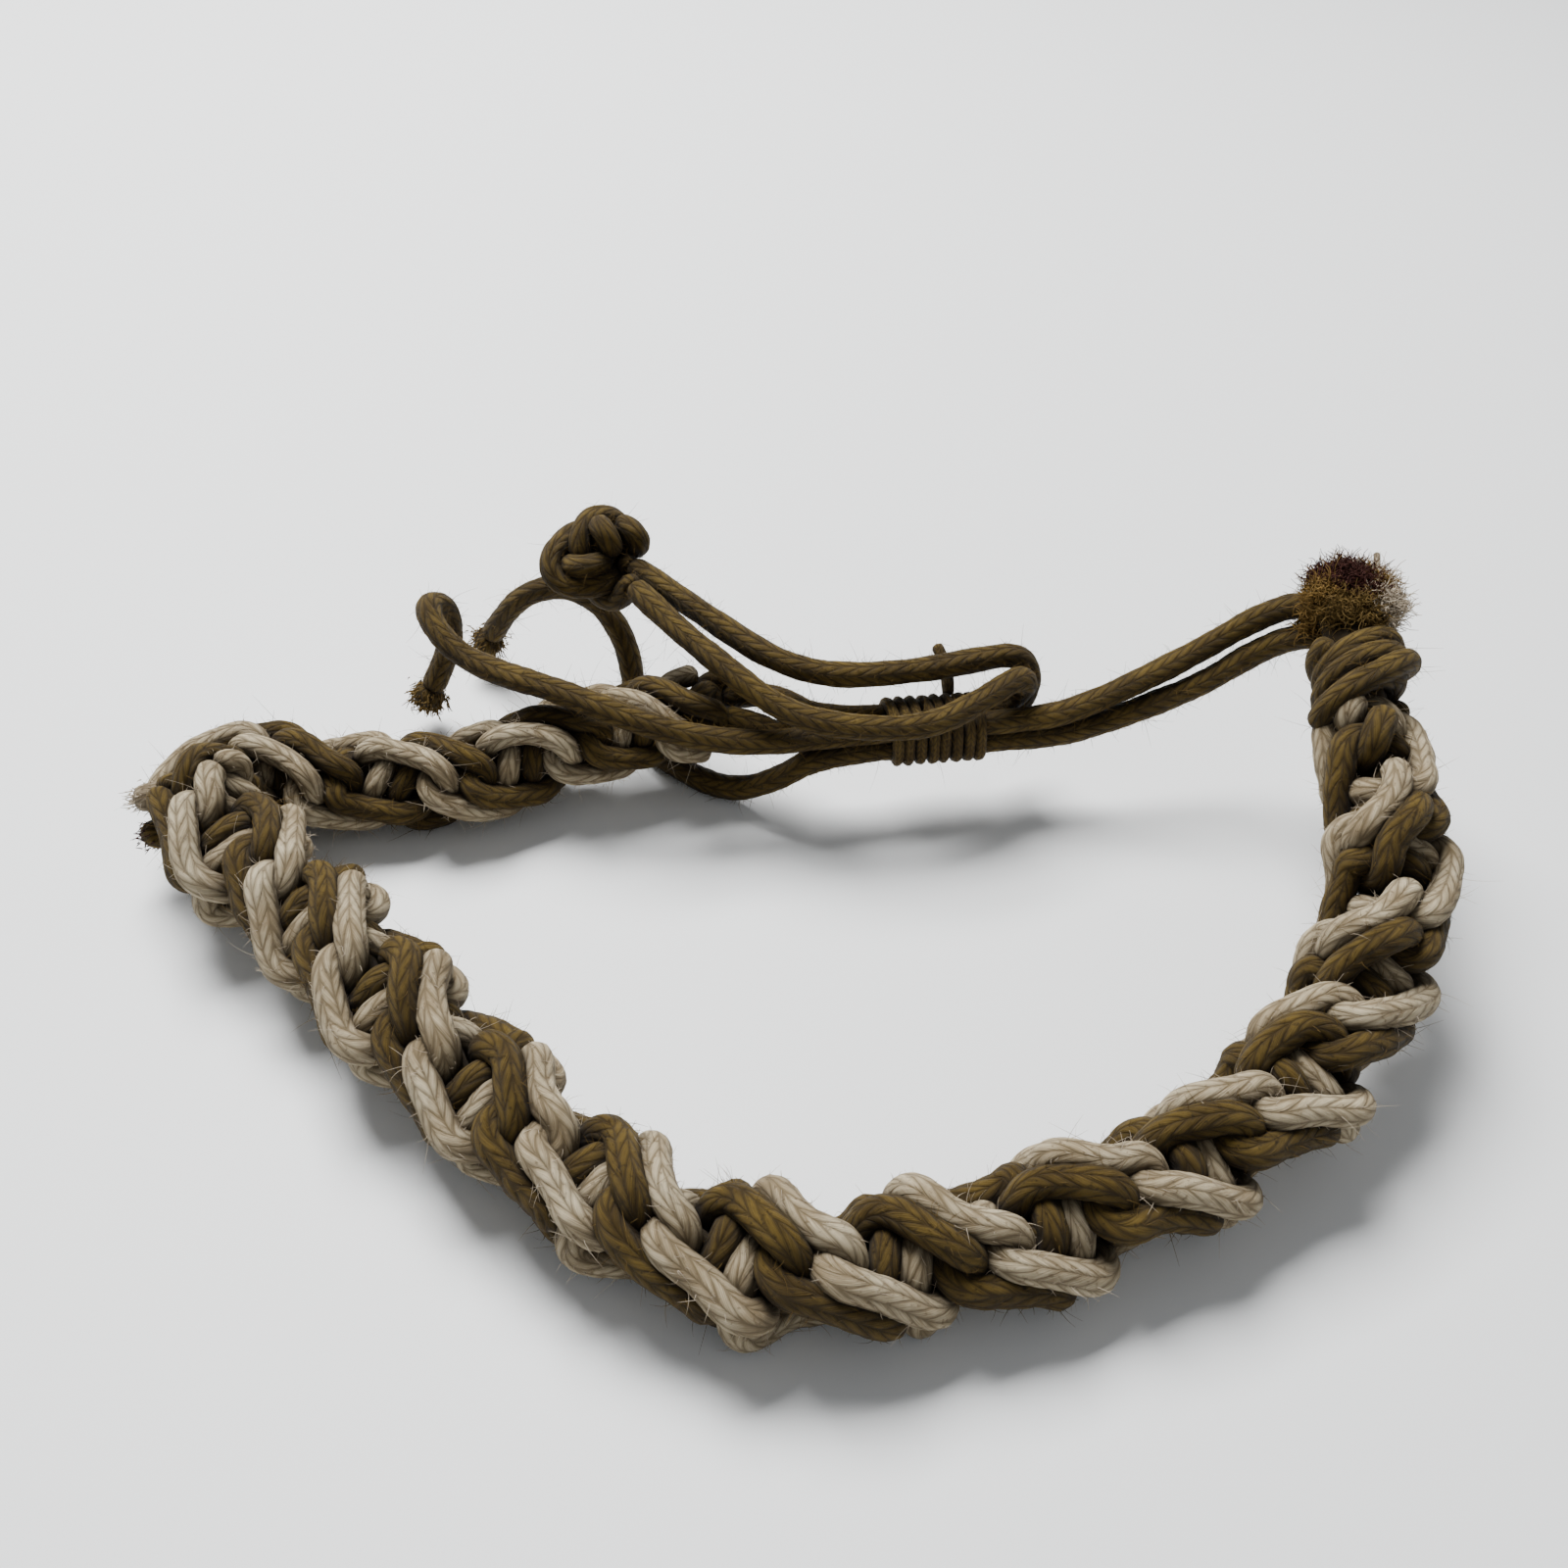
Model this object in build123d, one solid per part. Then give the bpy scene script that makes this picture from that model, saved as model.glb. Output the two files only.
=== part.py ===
"""Knotted cord band with a sliding closure.

Six waxed cotton cords run round the band as one twisted bundle: two core cords in the middle and a brown and
a cream working cord on each side of them. New working cords are joined in at the corner. A cord whipping
binds the right end, and four thinner tie cords cross in a thread whipping that slides along them.
The band lies on the XY plane, +Z up, with its front towards -Y.
"""
from build123d import *
import math
import os

os.makedirs("parts", exist_ok=True)

# Driving dimensions, in millimetres.
CORD_DIAMETER = 2.0  # cord of the knotted band
TIE_DIAMETER = 1.8  # cord of the closure, pulled thinner
THREAD_DIAMETER = 0.7  # thread of the slider
TWIST_PITCH = 36.0  # length of band in which the bundle turns once
STRAND_RUN = 2.25  # length of band between two points of a strand
CORE_OFFSET = 1.12  # core cords, each side of the centre line
WORKING_SIDE = 1.3  # working cords, sideways from the centre line
WORKING_RISE = 2.2  # working cords, above and below the core
JOIN_DISTANCE = 107.0  # from the right end to where new working cords are joined in
JOIN_GAP = 0.5  # between the cut working cords at the join
WHIPPING_TURNS = 4
WHIPPING_PITCH = 1.75
WHIPPING_GAP = 0.4  # between the knotting and the first turn
BOUND_RADIUS = 1.55  # the squeezed cord ends inside the whipping
TUFT_RADIUS = 3.1
TUFT_LENGTH = 7.2
SLIDER_TURNS = 8
SLIDER_PITCH = 0.85
SLIDER_CENTRE = Vector(11.3, 18.2, 6.5)
SLIDER_HEADING = 11.0  # degrees from +X
SLIDER_BORE_RADIUS = 2.29
TIE_SPACING = 1.9  # between the tie cords inside the slider
STRAIGHT_LEFT = 8.0  # straight stretch of the tie cords, left of the slider's centre
STRAIGHT_RIGHT = {"right pair": 7.4, "left pair": 4.6}  # and right of it
KNOT_CENTRE = Vector(-12.8, 26.8, 13.4)
KNOT_RING_RADIUS = 1.95
KNOT_STRAND_RADIUS = 1.6
TIP_RADIUS = 1.25
TIP_LENGTH = 2.2

# Centre line of the band, from its right end, round the front, to its left end.
BAND_ROUTE = [
    (38.2, 12.1, 13.2),
    (38.1, 7.8, 12.0),
    (38.2, 2.0, 9.6),
    (34.6, -6.4, 6.6),
    (28.5, -12.4, 4.8),
    (19.3, -17.9, 3.7),
    (10.3, -21.6, 3.55),
    (1.8, -22.7, 3.55),
    (-5.6, -20.3, 4.0),
    (-12.2, -15.6, 4.7),
    (-18.7, -9.8, 5.3),
    (-26.4, -2.2, 5.5),
    (-33.8, 4.8, 5.5),
    (-37.3, 8.4, 5.4),
    (-37.1, 12.8, 5.1),
    (-33.7, 15.6, 4.7),
    (-28.6, 14.9, 4.1),
    (-20.8, 14.3, 3.6),
    (-13.4, 17.2, 4.8),
    (-8.2, 18.6, 5.9),
    (-3.4, 19.2, 6.6),
]


def slider_point(along, across, up):
    """A point given along the slider's axis, across it towards the back, and upwards."""
    heading = math.radians(SLIDER_HEADING)
    x = SLIDER_CENTRE.X + along * math.cos(heading) - across * math.sin(heading)
    y = SLIDER_CENTRE.Y + along * math.sin(heading) + across * math.cos(heading)
    return (x, y, SLIDER_CENTRE.Z + up)


def slider_stretch(pair, across, up):
    """The straight stretch of one tie cord through the slider, from right to left."""
    return [slider_point(STRAIGHT_RIGHT[pair], across, up), slider_point(-STRAIGHT_LEFT, across, up)]


HALF_SPACING = TIE_SPACING / 2

# Tie cords. The right pair runs from the whipped end through the slider and ends in free tails. The left
# pair runs from the band's left end through the slider, folds back over it and ends in the stopper knot.
TIE_ROUTES = {
    "tie_cord_right_1": [
        (38.3, 20.4, 16.4),
        (36.2, 22.0, 15.1),
        (33.4, 22.9, 12.9),
        (30.2, 22.7, 11.1),
        (26.2, 21.4, 9.6),
        (22.0, 19.8, 8.1),
        *slider_stretch("right pair", -HALF_SPACING, HALF_SPACING),
        (0.8, 15.1, 7.1),
        (-2.8, 14.6, 7.3),
        (-6.6, 13.9, 8.4),
        (-10.6, 14.5, 9.4),
        (-14.8, 16.2, 9.8),
        (-18.8, 18.0, 9.5),
        (-21.8, 19.4, 9.8),
        (-23.8, 20.8, 10.9),
        (-24.8, 22.8, 11.6),
        (-23.9, 24.4, 10.6),
        (-23.6, 24.6, 8.0),
        (-24.6, 24.3, 5.2),
        (-25.6, 23.8, 3.2),
    ],
    "tie_cord_right_2": [
        (38.4, 20.3, 14.4),
        (36.0, 21.1, 13.3),
        (33.4, 21.7, 11.1),
        (30.2, 21.4, 9.3),
        (26.2, 20.4, 7.7),
        (22.0, 19.5, 6.1),
        *slider_stretch("right pair", -HALF_SPACING, -HALF_SPACING),
        (0.6, 15.5, 3.4),
        (-2.6, 16.6, 1.1),
        (-6.0, 18.4, 0.9),
        (-9.0, 21.2, 0.9),
        (-10.6, 24.2, 1.2),
        (-10.8, 26.4, 3.6),
        (-11.6, 27.4, 6.6),
        (-13.6, 28.8, 8.6),
        (-16.4, 29.7, 9.2),
        (-19.2, 29.8, 8.2),
        (-21.2, 30.0, 5.8),
        (-22.4, 30.6, 3.4),
    ],
    "tie_cord_left_1": [
        (-3.7, 20.3, 6.6),
        (-1.2, 20.4, 7.2),
        (0.9, 19.1, 7.6),
        *reversed(slider_stretch("left pair", HALF_SPACING, HALF_SPACING)),
        (17.5, 20.6, 7.7),
        (18.3, 20.3, 9.0),
        (17.2, 19.2, 10.1),
        (14.6, 16.9, 9.9),
        (10.4, 14.6, 9.3),
        (4.2, 14.1, 9.5),
        (0.2, 15.2, 10.0),
        (-3.6, 17.4, 10.6),
        (-7.2, 20.4, 11.6),
        (-10.4, 24.2, 12.8),
    ],
    "tie_cord_left_2": [
        (-3.6, 18.1, 6.6),
        (-1.4, 18.0, 6.4),
        (0.8, 17.5, 5.7),
        *reversed(slider_stretch("left pair", HALF_SPACING, -HALF_SPACING)),
        (17.3, 20.8, 5.6),
        (18.7, 22.0, 6.5),
        (19.1, 22.9, 8.7),
        (17.6, 23.1, 10.4),
        (14.2, 21.8, 10.5),
        (9.8, 19.6, 10.4),
        (4.0, 18.3, 10.5),
        (0.0, 19.1, 11.0),
        (-3.8, 21.6, 11.8),
        (-7.6, 24.4, 12.6),
        (-10.8, 26.4, 13.4),
    ],
}

# Short cut ends of working cord at the join, as start and end points.
CUT_ENDS = {
    "cut_end_cream": [(-37.9, 7.9, 6.4), (-40.5, 6.6, 6.6)],
    "cut_end_brown": [(-38.1, 7.0, 4.3), (-40.3, 5.7, 4.0)],
}


def corner_radii(points):
    """The largest arc that both runs beside each corner allow."""
    vectors = [Vector(*point) for point in points]
    radii = []
    for before, here, after in zip(vectors, vectors[1:], vectors[2:]):
        shorter = min((here - before).length, (after - here).length)
        turn = (here - before).get_angle(after - here)
        radii.append(0.45 * shorter / math.tan(math.radians(turn / 2)))
    return radii


def rounded_line(points):
    """Straight runs through the points, joined by tangent arcs."""
    return FilletPolyline(*points, radius=corner_radii(points))


def tube(line, diameter):
    """A round cord along a line, with flat ends."""
    start = Plane(origin=line @ 0, z_dir=line % 0)
    return sweep(start * Circle(diameter / 2), path=line)


def write(name, shape):
    """Name one piece and write its file."""
    shape.label = name
    export_step(shape, f"parts/{name}.step")


def check_volume(name, shape, line, diameter):
    """Print a tube's volume beside its section times its length."""
    expected = math.pi * diameter**2 / 4 * line.length
    print(f"{name}: length {line.length:.1f}, volume {shape.volume:.1f}, expected {expected:.1f}")


BAND_LINE = rounded_line(BAND_ROUTE)
BAND_LENGTH = BAND_LINE.length


def band_frame(distance):
    """Centre, sideways direction, upward direction and heading of the band at a distance from its right end."""
    centre = BAND_LINE.position_at(distance, position_mode=PositionMode.LENGTH)
    heading = BAND_LINE.tangent_at(distance, position_mode=PositionMode.LENGTH)
    side = heading.cross(Vector(0, 0, 1)).normalized()
    return centre, side, side.cross(heading), heading


def strand_points(across, up, start, end):
    """Points of one cord of the twisted bundle between two distances along the band."""
    count = round((end - start) / STRAND_RUN)
    points = []
    for index in range(count + 1):
        distance = start + (end - start) * index / count
        centre, side, rise, _ = band_frame(distance)
        twist = 2 * math.pi * (BAND_LENGTH - distance) / TWIST_PITCH
        sideways = across * math.cos(twist) - up * math.sin(twist)
        upwards = across * math.sin(twist) + up * math.cos(twist)
        points.append(centre + side * sideways + rise * upwards)
    return points


def make_band_cords():
    """The two core cords, whole, and four working cords in a front and a back stretch."""
    for number, across in ((1, -CORE_OFFSET), (2, CORE_OFFSET)):
        line = rounded_line(strand_points(across, 0, 0, BAND_LENGTH))
        cord = tube(line, CORD_DIAMETER)
        check_volume(f"core_cord_{number}", cord, line, CORD_DIAMETER)
        write(f"core_cord_{number}", cord)
    working_cords = {
        "brown_1": (-WORKING_SIDE, WORKING_RISE),
        "cream_1": (WORKING_SIDE, WORKING_RISE),
        "cream_2": (-WORKING_SIDE, -WORKING_RISE),
        "brown_2": (WORKING_SIDE, -WORKING_RISE),
    }
    stretches = {
        "front": (0, JOIN_DISTANCE - JOIN_GAP / 2),
        "back": (JOIN_DISTANCE + JOIN_GAP / 2, BAND_LENGTH),
    }
    for stretch, (start, end) in stretches.items():
        for colour, (across, up) in working_cords.items():
            line = rounded_line(strand_points(across, up, start, end))
            cord = tube(line, CORD_DIAMETER)
            name = f"{stretch}_working_cord_{colour}"
            check_volume(name, cord, line, CORD_DIAMETER)
            write(name, cord)


def make_cut_ends():
    """Cord ends that stick out of the join."""
    for name, (start, end) in CUT_ENDS.items():
        line = Line(start, end)
        write(name, tube(line, CORD_DIAMETER))


def whipping(turns, pitch, bore_radius, strand_radius):
    """A wound sleeve standing on Z = 0: a bore with one round rib for each turn."""
    wall = bore_radius + strand_radius
    length = turns * pitch
    sleeve = Pos(0, 0, length / 2) * Cylinder(wall, length)
    for turn in range(turns):
        sleeve += Pos(0, 0, (turn + 0.5) * pitch) * Torus(wall, strand_radius)
    bore = Pos(0, 0, length / 2) * Cylinder(bore_radius, length + 4 * strand_radius)
    return sleeve - bore


def make_right_end():
    """The cord whipping at the right end, and the squeezed and frayed cord ends inside and above it."""
    end, _, _, heading = band_frame(0)
    foot = Plane(origin=end, z_dir=heading * -1)
    whip_length = WHIPPING_TURNS * WHIPPING_PITCH
    wound = whipping(WHIPPING_TURNS, WHIPPING_PITCH, BOUND_RADIUS, TIE_DIAMETER / 2)
    write("end_whipping", foot * Pos(0, 0, WHIPPING_GAP) * wound)
    top = whip_length + TUFT_LENGTH
    outline = Polyline(
        (0, 0),
        (BOUND_RADIUS, 0),
        (BOUND_RADIUS, whip_length + WHIPPING_GAP),
        (TUFT_RADIUS * 0.85, whip_length + TUFT_LENGTH * 0.35),
        (TUFT_RADIUS, whip_length + TUFT_LENGTH * 0.6),
        (TUFT_RADIUS * 0.8, top - TUFT_LENGTH * 0.15),
        (TUFT_RADIUS * 0.4, top),
        (0, top),
        close=True,
    )
    profile = Plane.XZ * make_face(outline)
    write("bound_cord_ends", foot * revolve(profile, Axis.Z))


def make_closure():
    """The four tie cords, the slider on them, the stopper knot and the frayed tips."""
    for name, points in TIE_ROUTES.items():
        line = rounded_line(points)
        cord = tube(line, TIE_DIAMETER)
        check_volume(name, cord, line, TIE_DIAMETER)
        print("  radii", [round(radius, 1) for radius in corner_radii(points)])
        write(name, cord)
        if name.startswith("tie_cord_right"):
            foot = Plane(origin=line @ 1, z_dir=line % 1)
            tip = Pos(0, 0, TIP_LENGTH / 2) * Cylinder(TIP_RADIUS, TIP_LENGTH)
            write(name.replace("tie_cord_right", "frayed_tip"), foot * fillet(tip.edges(), TIP_RADIUS * 0.4))
    slider_length = SLIDER_TURNS * SLIDER_PITCH
    foot = Plane(origin=slider_point(-slider_length / 2, 0, 0), z_dir=slider_direction())
    slider = foot * whipping(SLIDER_TURNS, SLIDER_PITCH, SLIDER_BORE_RADIUS, THREAD_DIAMETER / 2)
    write("slider_whipping", slider)
    thread = Line(slider_point(1.4, 2.4, 1.4), slider_point(1.2, 4.9, 3.6))
    write("slider_thread_end", tube(thread, THREAD_DIAMETER))
    ring = Plane(origin=KNOT_CENTRE, z_dir=(0.35, -0.75, 0.55))
    knot = ring * Torus(KNOT_RING_RADIUS, KNOT_STRAND_RADIUS)
    stub_line = Line(KNOT_CENTRE + Vector(0.9, 1.2, 1.0), KNOT_CENTRE + Vector(1.2, 2.2, 3.0))
    write("stopper_knot", knot + tube(stub_line, TIE_DIAMETER))


def slider_direction():
    """The slider's axis, pointing to the right end."""
    heading = math.radians(SLIDER_HEADING)
    return Vector(math.cos(heading), math.sin(heading), 0)


print("band route radii", [round(radius, 1) for radius in corner_radii(BAND_ROUTE)])
print(f"band length {BAND_LENGTH:.1f}")
make_band_cords()
make_cut_ends()
make_right_end()
make_closure()
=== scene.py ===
"""Visual model of the knotted cord band: half-knotted cords, whipped end, slider and stopper knot."""
import math

import bpy
import numpy as np
from mathutils import Matrix, Vector, kdtree


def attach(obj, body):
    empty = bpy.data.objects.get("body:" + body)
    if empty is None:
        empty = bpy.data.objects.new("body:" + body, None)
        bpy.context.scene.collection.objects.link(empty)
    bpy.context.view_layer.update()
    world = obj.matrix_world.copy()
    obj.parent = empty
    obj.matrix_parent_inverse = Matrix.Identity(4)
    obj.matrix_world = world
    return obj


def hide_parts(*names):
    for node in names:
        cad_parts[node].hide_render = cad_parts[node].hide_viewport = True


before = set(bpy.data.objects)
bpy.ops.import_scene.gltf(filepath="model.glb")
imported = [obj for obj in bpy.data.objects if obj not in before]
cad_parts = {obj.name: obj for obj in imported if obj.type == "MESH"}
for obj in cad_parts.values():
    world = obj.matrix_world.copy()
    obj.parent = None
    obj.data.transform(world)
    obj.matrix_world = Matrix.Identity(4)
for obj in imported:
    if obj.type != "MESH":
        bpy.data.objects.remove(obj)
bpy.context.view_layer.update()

MM = 0.001
CAMERA_PLACE = (0.0010, -0.06232, 0.07112)
CAMERA_TILT = 48.8  # degrees up from straight down
CAMERA_ROLL = 3.0
CAMERA_LENS = 33.75
rng = np.random.default_rng(7)

# Sizes, in millimetres. Meshes are made in millimetres and scaled by MM when they are written.
CORD_RADIUS = 0.93
BACK_CORD_RADIUS = 0.82  # the cords joined in at the corner are drawn tighter
TIE_RADIUS = 0.9
WHIPPING_RADIUS = 0.86
KNOT_CORD_RADIUS = 0.85
CORE_RADIUS = 0.75
PRESSED_RADIUS = 0.72  # half the distance between the middles of two cords that press on each other
THREAD_RADIUS = 0.43
STITCH_LENGTH = 1.15  # one stitch of the braid along the cord
STITCH_LEAN = 1.2  # how far a stitch leans along the cord over its width, in stitches
BRAID_COLUMNS = 8
RING_POINTS = 24
RING_STEP = 0.17
RELIEF = 0.06  # depth of the grooves between stitches, as a part of the radius
HOLLOW_REACH = 2.2  # hollows narrower than this get painted shade
HALF_KNOT_PITCH = 4.2
HALF_KNOT_TURN = math.radians(-90)  # the turn of the pattern from one half knot to the next
HALF_KNOT_LENGTH = 16.0  # cord used by one half knot
POINTS_PER_HALF_KNOT = 30
CORE_OFFSET = 0.6  # of the core cords from the middle while a half knot is tightened
CORE_TWIST_RADIUS = 0.8
CORE_CLEARANCE = 1.4  # of the working cords from the band's middle line
POINT_SPACING = 0.62  # at most, along a settled cord
PAIRING = 0.2  # how strongly the two cords of a strand keep together
KNOT_WIDENING = 0.95  # the band is wide one way and thin the other, and that turns along it
KNOT_THINNING = 0.85
BAND_ROLL = math.radians(20)
BAND_SWELL = 0.93
BACK_NARROWING = 0.82  # of the band's width, past the corner
LOBE_SPACING = 2 * HALF_KNOT_PITCH  # the knotting bunches up into lobes with waists between them
LOBE_SWELL = 0.13
LOBE_GATHER = 0.55
CORNER_SWELL = 0.16
JOIN_DISTANCE = 107.0
WHIPPING_TURNS = 3.6
WHIPPING_RISE = 1.42  # for each turn
WHIPPING_REACH = 2.25  # from the middle of the end to the middle of the cord
SLIDER_CENTRE = np.array((11.3, 18.2, 6.5))
SLIDER_HEADING = math.radians(11.0)
SLIDER_TURNS = 8
SLIDER_THREAD_PITCH = 0.85
TIE_SPACING = 1.55  # between the middles of the tie cords that the slider squeezes together
THREAD_SQUARENESS = 3.2  # 2 would wind the thread in a circle
KNOT_CENTRE = np.array((-12.8, 26.8, 13.4))
KNOT_WIDTH, KNOT_HEIGHT, KNOT_DEPTH = 0.88, 0.58, 1.1  # scale of the overhand knot
KNOT_SLANT = math.radians(-55)
KNOT_SPACING = 1.46  # between the middles of cords that press on each other in the knot
HAIR_RADIUS = 0.017
CLUMP_HAIR_RADIUS = 0.055
CLUMP_DENSITY = 760  # hairs in a clump of the tuft, for its radius squared
TIP_HAIRS = 700
# Stray fibres for each millimetre of cord.
FUZZ_ON_BAND = 13.0
FUZZ_ON_WHIPPING = 9.0
FUZZ_ON_SLIDER = 2.2
FUZZ_ON_TIES = 20.0
FUZZ_ON_KNOT = 14.0

# Centre line of the band in metres, from its right end, round the front, to its left end.
BAND_ROUTE = [
    (0.0382, 0.0121, 0.0132), (0.0381, 0.0078, 0.0120), (0.0382, 0.0020, 0.0096),
    (0.0346, -0.0064, 0.0066), (0.0285, -0.0124, 0.0048), (0.0193, -0.0179, 0.0037),
    (0.0103, -0.0216, 0.00355), (0.0018, -0.0227, 0.00355), (-0.0056, -0.0203, 0.0040),
    (-0.0122, -0.0156, 0.0047), (-0.0187, -0.0098, 0.0053), (-0.0264, -0.0022, 0.0055),
    (-0.0338, 0.0040, 0.0055), (-0.0370, 0.0071, 0.0054), (-0.0370, 0.0108, 0.0050),
    (-0.0338, 0.0128, 0.0044), (-0.0286, 0.0127, 0.0037), (-0.0208, 0.0134, 0.0036),
    (-0.0134, 0.0172, 0.0048), (-0.0082, 0.0186, 0.0059), (-0.0034, 0.0192, 0.0066),
]


def slider_point(along, across, up):
    """A point in metres, given in millimetres along the slider, across it towards the back, and upwards."""
    c, s = math.cos(SLIDER_HEADING), math.sin(SLIDER_HEADING)
    place = SLIDER_CENTRE + np.array((along * c - across * s, along * s + across * c, up))
    return tuple(place * MM)


def slider_stretch(right, across, up):
    """The straight stretch of one tie cord through the slider, from right to left."""
    return [slider_point(right, across, up), slider_point(-8.0, across, up)]


HALF_SPACING = TIE_SPACING / 2
TIE_ROUTES = {
    "tie_cord_right_1": [
        (0.0383, 0.0204, 0.0164), (0.0362, 0.0228, 0.0158), (0.0334, 0.0236, 0.0137),
        (0.0302, 0.0229, 0.0114), (0.0262, 0.0214, 0.0096), (0.0220, 0.0198, 0.0081),
        *slider_stretch(7.4, -HALF_SPACING, HALF_SPACING),
        (0.0008, 0.0151, 0.0071), (-0.0028, 0.0146, 0.0073), (-0.0066, 0.0139, 0.0084),
        (-0.0106, 0.0145, 0.0094), (-0.0148, 0.0162, 0.0098), (-0.0188, 0.0180, 0.0095),
        (-0.0218, 0.0194, 0.0098), (-0.0238, 0.0208, 0.0109), (-0.0248, 0.0228, 0.0116),
        (-0.0239, 0.0244, 0.0106), (-0.0236, 0.0246, 0.0080), (-0.0246, 0.0243, 0.0052),
        (-0.0256, 0.0238, 0.0032),
    ],
    "tie_cord_right_2": [
        (0.0384, 0.0203, 0.0144), (0.0360, 0.0217, 0.0138), (0.0334, 0.0223, 0.0116),
        (0.0302, 0.0214, 0.0093), (0.0262, 0.0204, 0.0077), (0.0220, 0.0195, 0.0061),
        *slider_stretch(7.4, -HALF_SPACING, -HALF_SPACING),
        (0.0006, 0.0155, 0.0034), (-0.0026, 0.0166, 0.0011), (-0.0060, 0.0184, 0.0009),
        (-0.0090, 0.0212, 0.0009), (-0.0106, 0.0242, 0.0012), (-0.0108, 0.0264, 0.0036),
        (-0.0116, 0.0274, 0.0066), (-0.0136, 0.0288, 0.0086), (-0.0164, 0.0297, 0.0092),
        (-0.0192, 0.0298, 0.0082), (-0.0212, 0.0300, 0.0058), (-0.0224, 0.0306, 0.0034),
    ],
    "tie_cord_left_1": [
        (-0.0037, 0.0203, 0.0066), (-0.0012, 0.0204, 0.0072), (0.0009, 0.0191, 0.0076),
        *reversed(slider_stretch(4.6, HALF_SPACING, HALF_SPACING)),
        (0.0168, 0.0206, 0.0077), (0.0177, 0.0205, 0.0091), (0.0168, 0.0196, 0.0104),
        (0.0144, 0.0172, 0.0102), (0.0104, 0.0146, 0.0093), (0.0042, 0.0141, 0.0095),
        (0.0002, 0.0152, 0.0100), (-0.0036, 0.0179, 0.0113), (-0.0072, 0.0211, 0.0121),
        (-0.0104, 0.0244, 0.0130),
    ],
    "tie_cord_left_2": [
        (-0.0036, 0.0181, 0.0066), (-0.0014, 0.0180, 0.0064), (0.0008, 0.0175, 0.0057),
        *reversed(slider_stretch(4.6, HALF_SPACING, -HALF_SPACING)),
        (0.0166, 0.0208, 0.0056), (0.0178, 0.0218, 0.0066), (0.0182, 0.0224, 0.0087),
        (0.0170, 0.0225, 0.0103), (0.0140, 0.0213, 0.0104), (0.0098, 0.0196, 0.0104),
        (0.0040, 0.0183, 0.0105), (0.0000, 0.0191, 0.0110), (-0.0038, 0.0216, 0.0118),
        (-0.0076, 0.0244, 0.0126), (-0.0108, 0.0264, 0.0134),
    ],
}
CUT_ENDS = {
    "cut_end_cream": [(-36.9, 9.0, 5.8), (-38.6, 7.4, 6.5), (-40.6, 6.4, 6.7)],
    "cut_end_brown": [(-37.0, 8.4, 4.8), (-38.6, 6.8, 4.3), (-40.4, 5.6, 4.0)],
}


# ---------------------------------------------------------------- materials


def node_tools(material):
    """Short makers of shader nodes for one material."""
    tree = material.node_tree

    def node(kind, **inputs):
        made = tree.nodes.new(kind)
        for key, value in inputs.items():
            if isinstance(value, bpy.types.NodeSocket):
                tree.links.new(value, made.inputs[int(key[1:])])
            else:
                made.inputs[int(key[1:])].default_value = value
        return made

    def maths(operation, a, b=0.0, c=0.0):
        made = node("ShaderNodeMath", i0=a, i1=b, i2=c)
        made.operation = operation
        return made.outputs[0]

    return tree, node, maths


def colour_mix(tree, factor, low, high):
    """A colour between two, by a factor."""
    mix = tree.nodes.new("ShaderNodeMix")
    mix.data_type = "RGBA"
    for socket, value in ((mix.inputs[0], factor), (mix.inputs[6], low), (mix.inputs[7], high)):
        if isinstance(value, bpy.types.NodeSocket):
            tree.links.new(value, socket)
        else:
            socket.default_value = (*value, 1) if socket.type == "RGBA" else value
    return mix.outputs[2]


def noise(tree, vector, scale, detail=3.0, roughness=0.55):
    """The factor of a noise texture."""
    made = tree.nodes.new("ShaderNodeTexNoise")
    tree.links.new(vector, made.inputs["Vector"])
    made.inputs["Scale"].default_value = scale
    made.inputs["Detail"].default_value = detail
    made.inputs["Roughness"].default_value = roughness
    return made.outputs["Fac"]


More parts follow.
